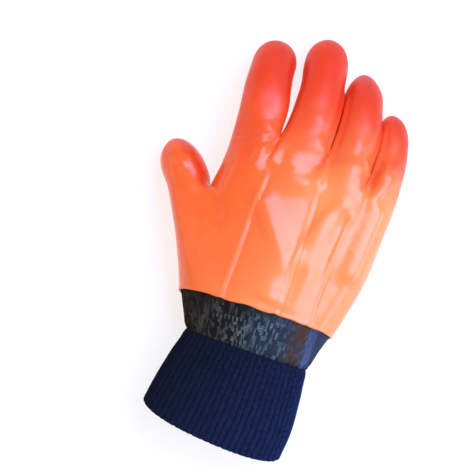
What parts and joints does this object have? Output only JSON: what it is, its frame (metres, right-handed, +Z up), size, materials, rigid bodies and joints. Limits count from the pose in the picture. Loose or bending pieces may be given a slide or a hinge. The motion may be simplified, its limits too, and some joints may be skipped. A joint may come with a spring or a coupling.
{
  "type": "chemical resistant glove",
  "caption": "Right-hand chemical-resistant work glove: smooth orange coated hand with raised seams down the back, a dark dipped band below it and a ribbed knit wrist, lying palm down",
  "frame": {"origin": "under the middle of the glove's bounding box, on the surface that it lies on", "axes": "+Y runs to the fingertips, +X to the little finger's side and +Z up out of the back of the hand"},
  "size_m": [0.157, 0.277, 0.0539],
  "materials": {
    "orange_coat": "smooth semi-gloss orange PVC, soft, with low raised seams",
    "dark_dip": "thin dark dip soaked into the knit, slightly glossy, the stitches showing through",
    "rib_knit": "matt navy rib knit"
  },
  "bodies": {
    "root": {"orange_coat": "orange_coat", "dark_dip_band": "dark_dip", "knit_wrist": "rib_knit"}
  },
  "joints": []
}
